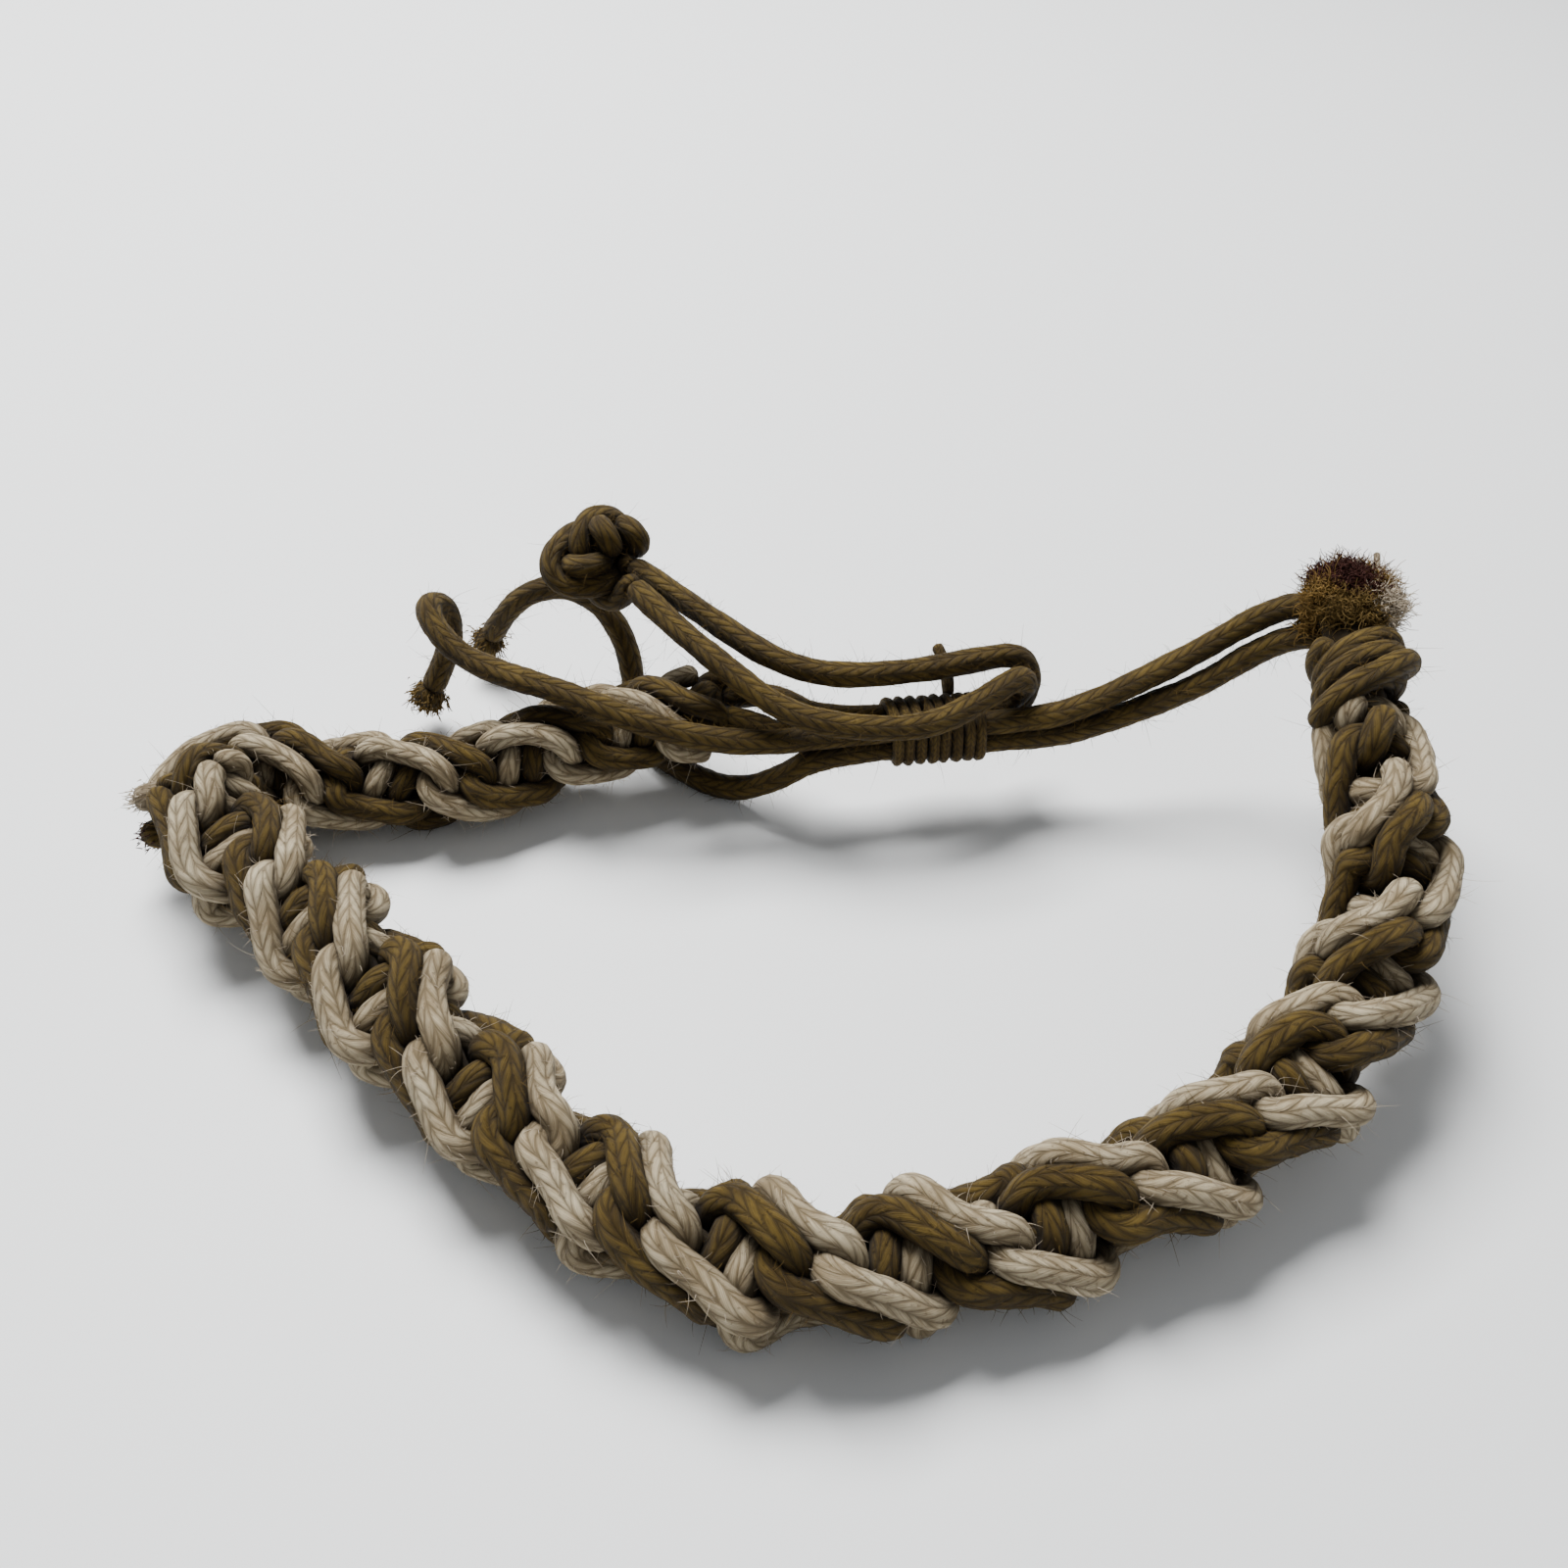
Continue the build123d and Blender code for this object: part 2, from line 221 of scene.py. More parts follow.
def cord_material(name, shade_colour, base, worn_and_highlight, speck, roughness=0.62, bump=0.0011):
    """Waxed cotton braid: herringbone stitches, fibres, rubbed patches, specks, a painted highlight on the
    raised stitches, and painted shade in the grooves between stitches and in the hollows between cords.
    """
    material = bpy.data.materials.new(name)
    material.use_nodes = True
    tree, node, maths = node_tools(material)
    shader = tree.nodes["Principled BSDF"]
    uv = node("ShaderNodeUVMap")
    split = node("ShaderNodeSeparateXYZ", i0=uv.outputs[0])
    place = node("ShaderNodeTexCoord").outputs["Object"]
    columns = maths("MULTIPLY", split.outputs[1], float(BRAID_COLUMNS))
    column = maths("FLOOR", columns)
    across = maths("SUBTRACT", maths("FRACT", columns), 0.5)
    lean = maths("MULTIPLY_ADD", maths("MODULO", column, 2.0), -2.0, 1.0)
    phase = maths("ADD", split.outputs[0], maths("MULTIPLY", maths("MULTIPLY", across, lean), STITCH_LEAN))
    saw = maths("ABSOLUTE", maths("MULTIPLY_ADD", maths("FRACT", phase), 2.0, -1.0))
    stitch = maths("SUBTRACT", 1.0, maths("POWER", saw, 3.0))
    edge = maths("SUBTRACT", 1.0, maths("POWER", maths("ABSOLUTE", maths("MULTIPLY", across, 2.0)), 4.0))
    braid = maths("MULTIPLY", stitch, edge)
    fibre_side = maths("MULTIPLY_ADD", column, 7.3, across)
    fibre_place = node("ShaderNodeCombineXYZ", i0=maths("MULTIPLY", phase, 11.0), i1=fibre_side)
    fibre = noise(tree, fibre_place.outputs[0], 1.0, 5.0, 0.7)
    patch = noise(tree, place, 420.0, 3.0)
    fleck = noise(tree, place, 2600.0, 2.0)
    # Lighter colour: rubbed patches at random, plus a painted highlight on the raised stitches.
    wear_and_stitch_highlight = maths("MULTIPLY_ADD", maths("SUBTRACT", patch, 0.5), 2.0, maths("MULTIPLY", braid, 0.45))
    wear_and_stitch_highlight = maths("ADD", wear_and_stitch_highlight, maths("MULTIPLY", maths("SUBTRACT", fibre, 0.5), 2.4))
    wear_and_highlight_clamped = node("ShaderNodeClamp", i0=wear_and_stitch_highlight).outputs[0]
    colour = colour_mix(tree, wear_and_highlight_clamped, base, worn_and_highlight)
    # Painted shade: the grooves between stitches are darkened towards the shade colour.
    depth = maths("MULTIPLY", maths("SUBTRACT", 1.0, braid), 0.42)
    colour = colour_mix(tree, depth, colour, shade_colour)
    specks = node("ShaderNodeMapRange", i0=fleck, i1=0.62, i2=0.72, i3=0.0, i4=0.6).outputs[0]
    colour = colour_mix(tree, specks, colour, speck)
    # Painted shade: hollows between and under cords are darkened by ambient occlusion.
    hollow = tree.nodes.new("ShaderNodeAmbientOcclusion")
    hollow.samples = 4
    hollow.inputs["Distance"].default_value = HOLLOW_REACH * MM
    painted_crevice_shade = maths("MULTIPLY", maths("POWER", maths("SUBTRACT", 1.0, hollow.outputs["AO"]), 1.1), 1.15)
    colour = colour_mix(tree, painted_crevice_shade, colour, shade_colour)
    tree.links.new(colour, shader.inputs["Base Color"])
    height = maths("ADD", maths("MULTIPLY", braid, 0.12), maths("MULTIPLY", fibre, 0.22))
    bumper = tree.nodes.new("ShaderNodeBump")
    bumper.inputs["Strength"].default_value = 0.8
    bumper.inputs["Distance"].default_value = bump
    tree.links.new(height, bumper.inputs["Height"])
    tree.links.new(bumper.outputs[0], shader.inputs["Normal"])
    rough = maths("MULTIPLY_ADD", fibre, 0.2, roughness)
    tree.links.new(rough, shader.inputs["Roughness"])
    shader.inputs["Specular IOR Level"].default_value = 0.18
    shader.inputs["Sheen Weight"].default_value = 0.02
    shader.inputs["Sheen Roughness"].default_value = 0.5
    return material


def fibre_material(name, low, high):
    """Loose cotton fibre, between two colours."""
    material = bpy.data.materials.new(name)
    material.use_nodes = True
    tree, node, _ = node_tools(material)
    shader = tree.nodes["Principled BSDF"]
    place = node("ShaderNodeTexCoord").outputs["Object"]
    colour = colour_mix(tree, noise(tree, place, 1500.0, 2.0), low, high)
    tree.links.new(colour, shader.inputs["Base Color"])
    shader.inputs["Roughness"].default_value = 0.75
    shader.inputs["Specular IOR Level"].default_value = 0.15
    return material


# Braid colours, in order: painted shade, base, rubbed patches with painted stitch highlights, specks.
BROWN = cord_material("brown_braid", (0.006, 0.003, 0.001), (0.049, 0.029, 0.004), (0.142, 0.091, 0.016),
                      (0.012, 0.007, 0.002))
CREAM = cord_material("cream_braid", (0.040, 0.027, 0.013), (0.265, 0.200, 0.112), (0.640, 0.545, 0.370),
                      (0.110, 0.070, 0.032))
DULL_CREAM = cord_material("dull_cream_braid", (0.068, 0.046, 0.024), (0.220, 0.168, 0.102),
                           (0.410, 0.338, 0.232), (0.100, 0.064, 0.032))
THREAD = cord_material("thread", (0.008, 0.004, 0.001), (0.055, 0.032, 0.005), (0.140, 0.092, 0.020),
                       (0.012, 0.007, 0.002), bump=0.0004)
BROWN_FIBRE = fibre_material("brown_fibre", (0.050, 0.029, 0.007), (0.170, 0.108, 0.030))
CREAM_FIBRE = fibre_material("cream_fibre", (0.260, 0.205, 0.140), (0.560, 0.480, 0.370))
DARK_FIBRE = fibre_material("dark_fibre", (0.012, 0.003, 0.002), (0.055, 0.014, 0.008))
OCHRE_FIBRE = fibre_material("ochre_fibre", (0.045, 0.022, 0.004), (0.230, 0.138, 0.034))


# ---------------------------------------------------------------- lines and tubes


def spline_points(route):
    """Points in millimetres along the NURBS spline that has the route, in metres, as its control points."""
    curve = bpy.data.curves.new("route", "CURVE")
    curve.dimensions = "3D"
    spline = curve.splines.new("NURBS")
    spline.points.add(len(route) - 1)
    for point, place in zip(spline.points, route):
        point.co = (*place, 1)
    spline.order_u = 3
    spline.use_endpoint_u = True
    spline.resolution_u = 16
    holder = bpy.data.objects.new("route", curve)
    mesh = bpy.data.meshes.new_from_object(holder)
    points = np.array([vertex.co for vertex in mesh.vertices]) / MM
    bpy.data.objects.remove(holder)
    bpy.data.curves.remove(curve)
    bpy.data.meshes.remove(mesh)
    return points


def distances(points):
    """Distance of each point along the line."""
    steps = np.linalg.norm(np.diff(points, axis=0), axis=1)
    return np.concatenate([[0], np.cumsum(steps)])


def smooth_resample(points, step):
    """Evenly spaced points on a smooth (Catmull-Rom) line through the given ones."""
    along = distances(points)
    keep = np.concatenate([[True], np.diff(along) > 1e-6])
    points, along = points[keep], along[keep]
    count = max(2, int(round(along[-1] / step)))
    places = np.linspace(0, along[-1], count + 1)
    tangents = np.gradient(points, along, axis=0)
    index = np.clip(np.searchsorted(along, places) - 1, 0, len(points) - 2)
    width = (along[index + 1] - along[index])[:, None]
    t = ((places - along[index]) / width[:, 0])[:, None]
    a, b = points[index], points[index + 1]
    ta, tb = tangents[index] * width, tangents[index + 1] * width
    return (
        (2 * t**3 - 3 * t**2 + 1) * a + (t**3 - 2 * t**2 + t) * ta
        + (3 * t**2 - 2 * t**3) * b + (t**3 - t**2) * tb
    )


def unit(vectors):
    """Vectors of length one."""
    return vectors / np.maximum(np.linalg.norm(vectors, axis=-1, keepdims=True), 1e-9)


def line_frames(points):
    """Tangents, and normals carried along the line without twist."""
    tangents = unit(np.gradient(points, axis=0))
    normals = np.zeros_like(points)
    start = np.cross(tangents[0], (0.3, 0.2, 1.0))
    normals[0] = start / np.linalg.norm(start)
    for i in range(1, len(points)):
        carried = normals[i - 1] - tangents[i] * (normals[i - 1] @ tangents[i])
        normals[i] = carried / np.linalg.norm(carried)
    return tangents, normals


def braid_relief(stitches, around):
    """Height of the braid, 0 to 1, where stitches counts along the cord and around goes from 0 to 1."""
    columns = around * BRAID_COLUMNS
    across = columns % 1 - 0.5
    lean = 1 - 2 * (np.floor(columns) % 2)
    saw = np.abs(2 * ((stitches + across * lean * STITCH_LEAN) % 1) - 1)
    return (1 - saw**3) * (1 - np.abs(2 * across) ** 3)


def add_mesh(name, vertices, faces, material, uvs=None):
    """A smooth-shaded piece from vertices in millimetres."""
    mesh = bpy.data.meshes.new(name)
    mesh.from_pydata((np.asarray(vertices) * MM).tolist(), [], faces)
    mesh.polygons.foreach_set("use_smooth", np.ones(len(mesh.polygons), bool))
    if uvs is not None:
        layer = mesh.uv_layers.new(name="braid")
        layer.data.foreach_set("uv", np.asarray(uvs, np.float32).ravel())
    mesh.materials.append(material)
    piece = bpy.data.objects.new(name, mesh)
    bpy.context.collection.objects.link(piece)
    return piece


def tube_arrays(
    points, radius, ring=RING_POINTS, step=RING_STEP, relief=RELIEF, first=0, stitch=STITCH_LENGTH
):
    """Vertices, faces and UVs of one braided tube with rounded ends."""
    line = smooth_resample(points, step)
    tangents, normals = line_frames(line)
    binormals = np.cross(tangents, normals)
    rings = len(line)
    around = (np.arange(ring) + 0.5) / ring
    stitches = np.arange(rings) * step / stitch
    height = braid_relief(stitches[:, None], around[None, :])
    wobble = 1 + 0.03 * np.sin(stitches * 0.9 + first) + 0.02 * np.sin(stitches * 2.3 + 1.7 * first)
    radii = radius * wobble[:, None] * (1 - relief * (1 - height))
    cap = np.minimum(1, np.minimum(np.arange(rings), np.arange(rings)[::-1]) * step / (radius * 0.8))
    radii = radii * np.sqrt(np.maximum(1 - (1 - cap) ** 2, 0.02))[:, None]
    angle = 2 * math.pi * around
    cosines, sines = np.cos(angle), np.sin(angle)
    body = line[:, None, :] + radii[:, :, None] * (
        cosines[None, :, None] * normals[:, None, :] + sines[None, :, None] * binormals[:, None, :]
    )
    vertices = np.concatenate([body.reshape(-1, 3), line[:1], line[-1:]])
    i = np.repeat(np.arange(rings - 1), ring)
    j = np.tile(np.arange(ring), rings - 1)
    k = (j + 1) % ring
    quads = np.stack([i * ring + j, i * ring + k, (i + 1) * ring + k, (i + 1) * ring + j], axis=1)
    u, v = stitches, around
    quad_uv = np.stack(
        [
            np.stack([u[i], v[j]], 1),
            np.stack([u[i], v[j] + 1 / ring], 1),
            np.stack([u[i + 1], v[j] + 1 / ring], 1),
            np.stack([u[i + 1], v[j]], 1),
        ],
        axis=1,
    ).reshape(-1, 2)
    low, high = rings * ring, rings * ring + 1
    fans = [(low, (j + 1) % ring, j) for j in range(ring)]
    fans += [(high, (rings - 1) * ring + j, (rings - 1) * ring + (j + 1) % ring) for j in range(ring)]
    fan_uv = [(end, place) for end in (0, u[-1]) for place in v for _ in range(3)]
    return vertices, quads.tolist() + fans, np.concatenate([quad_uv, np.array(fan_uv)])


def tube_piece(name, lines, radius, material, **options):
    """One piece made of braided tubes along one or more lines."""
    all_vertices, all_faces, all_uvs, count = [], [], [], 0
    for number, line in enumerate(lines):
        vertices, faces, uvs = tube_arrays(line, radius, first=number + len(name), **options)
        all_vertices.append(vertices)
        all_faces += [tuple(index + count for index in face) for face in faces]
        all_uvs.append(uvs)
        count += len(vertices)
    return add_mesh(name, np.concatenate(all_vertices), all_faces, material, np.concatenate(all_uvs))


def hair_arrays(roots, directions, lengths, curl, thickness, wave=0.0):
    """Vertices and faces of thin curved three-sided hairs, wavy by a part of their length."""
    rings = 8 if wave else 5
    steps = np.linspace(0, 1, rings)
    count = len(roots)
    bends = rng.normal(0, curl, (count, 3))
    sway = unit(np.cross(directions, rng.normal(0, 1, (count, 3))))
    lift = np.cross(directions, sway)
    phase = rng.uniform(0, 2 * math.pi, (count, 1)) + 2 * math.pi * steps[None, :]
    waves = np.cos(phase)[:, :, None] * sway[:, None, :] + np.sin(phase)[:, :, None] * lift[:, None, :]
    ahead = steps[None, :, None] * directions[:, None, :]
    aside = (steps**2)[None, :, None] * bends[:, None, :]
    lines = roots[:, None, :] + lengths[:, None, None] * (ahead + aside + wave * waves)
    lines[:, :, 2] = np.maximum(lines[:, :, 2], 0.06)
    side = unit(np.cross(directions, rng.normal(0, 1, (count, 3))))
    other = unit(np.cross(directions, side))
    taper = thickness * (1 - 0.7 * steps**2)
    vertices = []
    for corner in range(3):
        angle = 2 * math.pi * corner / 3
        offset = side * math.cos(angle) + other * math.sin(angle)
        vertices.append(lines + taper[None, :, None] * offset[:, None, :])
    vertices = np.stack(vertices, axis=2).reshape(-1, 3)
    faces = []
    for hair in range(count):
        base = hair * rings * 3
        for step in range(rings - 1):
            for corner in range(3):
                a = base + step * 3 + corner
                b = base + step * 3 + (corner + 1) % 3
                faces.append((a, b, b + 3, a + 3))
        last = base + (rings - 1) * 3
        faces.append((last, last + 1, last + 2))
        faces.append((base + 2, base + 1, base))
    return vertices, faces


def fuzz_piece(name, lines, radius, per_mm, material, centre=None, long=1.6):
    """Stray fibres that stand off one or more cords, and only outwards where a centre line is given."""
    roots, directions, lengths = [], [], []
    for line in lines:
        fine = smooth_resample(line, 0.25)
        tangents, normals = line_frames(fine)
        binormals = np.cross(tangents, normals)
        count = int(len(fine) * 0.25 * per_mm)
        at = rng.integers(0, len(fine), count)
        angle = rng.uniform(0, 2 * math.pi, count)
        out = normals[at] * np.cos(angle)[:, None] + binormals[at] * np.sin(angle)[:, None]
        if centre is not None:
            nearest = np.argmin(np.linalg.norm(fine[at][:, None] - centre[None], axis=2), axis=1)
            outward = unit(fine[at] - centre[nearest])
            keep = (out * outward).sum(axis=1) > 0.25
            at, out = at[keep], out[keep]
        lean = rng.normal(0, 0.9, (len(at), 1))
        roots.append(fine[at] + out * radius * 0.93)
        directions.append(unit(out * 0.75 + tangents[at] * lean + rng.normal(0, 0.25, (len(at), 3))))
        lengths.append(np.clip(rng.lognormal(-0.95, 0.6, len(at)), 0.2, long))
    vertices, faces = hair_arrays(
        np.concatenate(roots), np.concatenate(directions), np.concatenate(lengths), 0.6, HAIR_RADIUS
    )
    return add_mesh(name, vertices, faces, material)


def finish_piece(piece, body, slot, *nodes):
    """Puts a piece on its body and hides the CAD nodes that it stands for; its finish slot is not used."""
    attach(piece, body)
    if nodes:
        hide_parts(*nodes)
    return piece


# ---------------------------------------------------------------- the knotting


def turn_about_z(angle):
    """Rotation matrix about the Z axis."""
    c, s = math.cos(angle), math.sin(angle)
    return np.array([[c, -s, 0], [s, c, 0], [0, 0, 1.0]])


def screw(points, count):
    """Points of one half knot moved on by a number of half knots, where the two strands change sides."""
    turned = points @ turn_about_z(count * (math.pi + HALF_KNOT_TURN)).T
    return turned + np.array([0, 0, HALF_KNOT_PITCH * count])


def half_knot_start():
    """First shape of a strand's two cords in a half knot: round the other strand, then across the front."""
    half = HALF_KNOT_PITCH / 2
    start = turn_about_z(-HALF_KNOT_TURN / 2) @ np.array([-3.2, 0, -half])
    round_the_other = [(-3.3, -1.4, -0.6), (-3.0, -0.6, 1.1), (-2.2, 1.2, 0.9)]
    across_the_front = [(0, 2.4, 0), (2.9, 0.2, 0.1), (4.2, 0, 0.2)]
    shape = np.array([start, *round_the_other, *across_the_front, screw(start, 1)], float)
    along = distances(shape)
    places = np.linspace(0, along[-1], POINTS_PER_HALF_KNOT + 1)[:-1]
    line = np.stack([np.interp(places, along, shape[:, axis]) for axis in range(3)], axis=1)
    for _ in range(3):
        wide = np.concatenate([screw(line[-1:], -1), line, screw(line[:1], 1)])
        line = 0.5 * line + 0.25 * (wide[:-2] + wide[2:])
    wide = np.concatenate([line, screw(line[:2], 1)])
    tangents = unit(np.diff(wide, axis=0))
    sides = np.zeros_like(tangents)
    sides[0] = unit(np.array([0, 0, 1.0]) - tangents[0] * tangents[0][2])
    for i in range(1, len(sides)):
        sides[i] = unit(sides[i - 1] - tangents[i] * (sides[i - 1] @ tangents[i]))
    target = turn_about_z(math.pi + HALF_KNOT_TURN) @ sides[0]
    miss = math.atan2(target @ np.cross(tangents[-1], sides[-1]), target @ sides[-1])
    angles = miss * np.arange(POINTS_PER_HALF_KNOT) / POINTS_PER_HALF_KNOT
    inner = slice(0, POINTS_PER_HALF_KNOT)
    uprights = np.cross(tangents, sides)
    offset = sides[inner] * np.cos(angles)[:, None] + uprights[inner] * np.sin(angles)[:, None]
    return np.stack([line + offset * 0.5, line - offset * 0.5])


def core_points():
    """Points of the two twisted core cords, near one half knot."""
    height = np.arange(-3.2 * HALF_KNOT_PITCH, 3.2 * HALF_KNOT_PITCH, 0.35)
    angle = HALF_KNOT_TURN * height / HALF_KNOT_PITCH
    ring = np.stack([CORE_OFFSET * np.cos(angle), CORE_OFFSET * np.sin(angle)], axis=1)
    return np.concatenate([np.column_stack([ring, height]), np.column_stack([-ring, height])])


def push_apart(points, others, reach, ignored):
    """Moves that part points from others closer than reach, and a mask of pairs that may be close."""
    gaps = points[:, None, :] - others[None, :, :]
    far = np.linalg.norm(gaps, axis=2)
    over = np.where(ignored | (far < 1e-6), 0, np.maximum(0, reach - far))
    return (gaps / np.maximum(far, 1e-6)[:, :, None] * (over * 0.25)[:, :, None]).sum(axis=1)


def tighten_half_knot(rounds=1300):
    """The points of the two cords of one half knot, pulled tight against its neighbours and the core."""
    cords = half_knot_start()
    size = POINTS_PER_HALF_KNOT
    core = core_points()
    rest = HALF_KNOT_LENGTH / size
    skip = math.ceil(2.6 * PRESSED_RADIUS / rest)
    half_turn = turn_about_z(math.pi)
    images = [(strand, count, cord) for strand in (0, 1) for count in range(-3, 4) for cord in (0, 1)]
    strand_of = np.concatenate([np.full(size, strand) for strand, _, _ in images])
    cord_of = np.concatenate([np.full(size, cord) for _, _, cord in images])
    index_of = np.concatenate([np.arange(size) + count * size for _, count, _ in images])
    ignored = [
        ((strand_of == 0) & (cord_of == cord))[None, :]
        & (np.abs(index_of[None, :] - np.arange(size)[:, None]) <= skip)
        for cord in (0, 1)
    ]
    no_mask = np.zeros((size, len(core)), bool)
    for step in range(rounds):
        radius = PRESSED_RADIUS * min(1.0, 0.45 + 1.1 * step / rounds)
        others = []
        for strand, count, cord in images:
            image = screw(cords[cord], count)
            others.append(image @ half_turn.T if strand else image)
        others = np.concatenate(others)
        for cord in (0, 1):
            push = push_apart(cords[cord], others, 2 * radius, ignored[cord])
            push += push_apart(cords[cord], core, radius + 0.5, no_mask)
            size_of_push = np.linalg.norm(push, axis=1, keepdims=True)
            cords[cord] += push * np.minimum(1, 0.25 / np.maximum(size_of_push, 1e-9))
        apart = cords[1] - cords[0]
        apart_length = np.maximum(np.linalg.norm(apart, axis=1, keepdims=True), 1e-6)
        together = apart * np.maximum(0, 1 - 2.05 * PRESSED_RADIUS / apart_length) * PAIRING
        cords[0] += together
        cords[1] -= together
        for cord in (0, 1, 0, 1):
            line = cords[cord]
            wide = np.concatenate([screw(line[-1:], -1), line, screw(line[:1], 1)])
            line = line + 0.1 * (0.5 * (wide[:-2] + wide[2:]) - line)
            wide = np.concatenate([screw(line[-1:], -1), line, screw(line[:1], 1)])
            back, ahead = wide[:-2] - line, wide[2:] - line
            back_length = np.linalg.norm(back, axis=1, keepdims=True)
            ahead_length = np.linalg.norm(ahead, axis=1, keepdims=True)
            pull = back * (1 - rest / back_length) + ahead * (1 - rest / ahead_length)
            cords[cord] = line + 0.25 * pull
    return cords


band_line = smooth_resample(spline_points(BAND_ROUTE), 0.5)
band_along = distances(band_line)
BAND_LENGTH = band_along[-1]
band_heading = unit(np.gradient(band_line, band_along, axis=0))
band_side = unit(np.cross(band_heading, (0, 0, 1.0)))
band_rise = np.cross(band_side, band_heading)


def at_distance(values, along):
    """Values along the band at given distances, carried straight on past its ends."""
    columns = [np.interp(along, band_along, values[:, axis]) for axis in range(3)]
    return np.stack(columns, axis=1)


def onto_band(local):
    """Places points given as (side, rise, along) on the bent band."""
    along = local[:, 2]
    centre = at_distance(band_line, along)
    heading = unit(at_distance(band_heading, along))
    past = along - np.clip(along, 0, BAND_LENGTH)
    centre = centre + heading * past[:, None]
    side, rise = unit(at_distance(band_side, along)), unit(at_distance(band_rise, along))
    return centre + side * local[:, :1] + rise * local[:, 1:2]


def uneven(along, seed):
    """A smooth uneven value between about -1 and 1 along the band."""
    phases = np.random.default_rng(seed).uniform(0, 2 * math.pi, 3)
    return (
        0.5 * np.sin(along * 0.16 + phases[0]) + 0.35 * np.sin(along * 0.41 + phases[1])
        + 0.3 * np.sin(along * 0.83 + phases[2])
    )


def sennit_lines():
    """The four working cords along the whole band, keyed by strand and cord."""
    cell = tighten_half_knot()
    count = int(round(BAND_LENGTH / HALF_KNOT_PITCH))
    lines = {}
    for strand in (0, 1):
        for cord in (0, 1):
            line = np.concatenate([screw(cell[cord], number) for number in range(count)])
            if strand:
                line = line @ turn_about_z(math.pi).T
            along = line[:, 2] * BAND_LENGTH / (count * HALF_KNOT_PITCH) + 0.3 * HALF_KNOT_PITCH
            turned = HALF_KNOT_TURN * line[:, 2] / HALF_KNOT_PITCH
            wide = (line[:, 0] * np.cos(turned) + line[:, 1] * np.sin(turned)) * KNOT_WIDENING
            thin = (line[:, 1] * np.cos(turned) - line[:, 0] * np.sin(turned)) * KNOT_THINNING
            roll = turned + math.radians(22) * uneven(along, 3) + BAND_ROLL
            wave = 2 * math.pi * along / LOBE_SPACING
            swell = (BAND_SWELL + 0.09 * uneven(along, 4)) * (1 + LOBE_SWELL * np.cos(wave))
            swell = swell * (1 + CORNER_SWELL * np.exp(-(((along - JOIN_DISTANCE + 1) / 5.0) ** 2)))
            narrow = np.interp(along, (0, 4, 13), (0.5, 0.8, 1))
            narrow = narrow * np.clip(0.35 + (BAND_LENGTH - along) / 5.0, 0.35, 1)
            narrow = narrow * np.interp(along, (JOIN_DISTANCE + 2, JOIN_DISTANCE + 10), (1, BACK_NARROWING))
            x = (wide * np.cos(roll) - thin * np.sin(roll)) * swell * narrow
            y = (wide * np.sin(roll) + thin * np.cos(roll)) * swell * narrow
            x = x + 0.5 * uneven(1.6 * along, 8) * narrow
            y = y + 0.4 * uneven(1.6 * along, 9) * narrow
            shifted = along + 0.35 * uneven(along, 5) - LOBE_GATHER * np.sin(wave) * narrow
            lines[strand, cord] = onto_band(np.column_stack([x, y, shifted]))
    return lines


def settle(lines, rounds=40):
    """Clears the bent cords from each other, the core and the floor."""
    keys = list(lines)
    points = np.concatenate([lines[key] for key in keys])
    owner = np.concatenate([np.full(len(lines[key]), number) for number, key in enumerate(keys)])
    first, second = np.arange(len(points) - 1), np.arange(1, len(points))
    joined = owner[first] == owner[second]
    first, second = first[joined], second[joined]
    rest = np.minimum(np.linalg.norm(points[first] - points[second], axis=1), POINT_SPACING)
    middle = (owner[1:-1] == owner[:-2]) & (owner[1:-1] == owner[2:])
    inner = np.arange(1, len(points) - 1)[middle]
    reach = 2 * PRESSED_RADIUS - 0.06
    for step in range(rounds):
        if step % 5 == 0:
            tree = kdtree.KDTree(len(points))
            for index, point in enumerate(points):
                tree.insert(point, index)
            tree.balance()
            pairs = [
                (index, other)
                for index, point in enumerate(points)
                for _, other, _ in tree.find_range(point, reach + 0.7)
                if other > index and (owner[other] != owner[index] or other - index > 5)
            ]
            a, b = np.array(pairs).T
            near_core = np.argmin(np.linalg.norm(points[:, None] - band_line[None], axis=2), axis=1)
        gap = points[a] - points[b]
        far = np.maximum(np.linalg.norm(gap, axis=1, keepdims=True), 1e-6)
        push = gap / far * np.maximum(0, reach - far) * 0.3
        np.add.at(points, a, push)
        np.add.at(points, b, -push)
        gap = points - band_line[near_core]
        far = np.maximum(np.linalg.norm(gap, axis=1, keepdims=True), 1e-6)
        points += gap / far * np.maximum(0, CORE_CLEARANCE - far) * 0.3
        gap = points[second] - points[first]
        far = np.maximum(np.linalg.norm(gap, axis=1, keepdims=True), 1e-6)
        pull = gap * (1 - rest[:, None] / far) * 0.25
        np.add.at(points, first, pull)
        np.add.at(points, second, -pull)
        points[inner] += 0.12 * (0.5 * (points[inner - 1] + points[inner + 1]) - points[inner])
        points[:, 2] = np.maximum(points[:, 2], CORD_RADIUS + 0.02)
    return {key: points[owner == number] for number, key in enumerate(keys)}


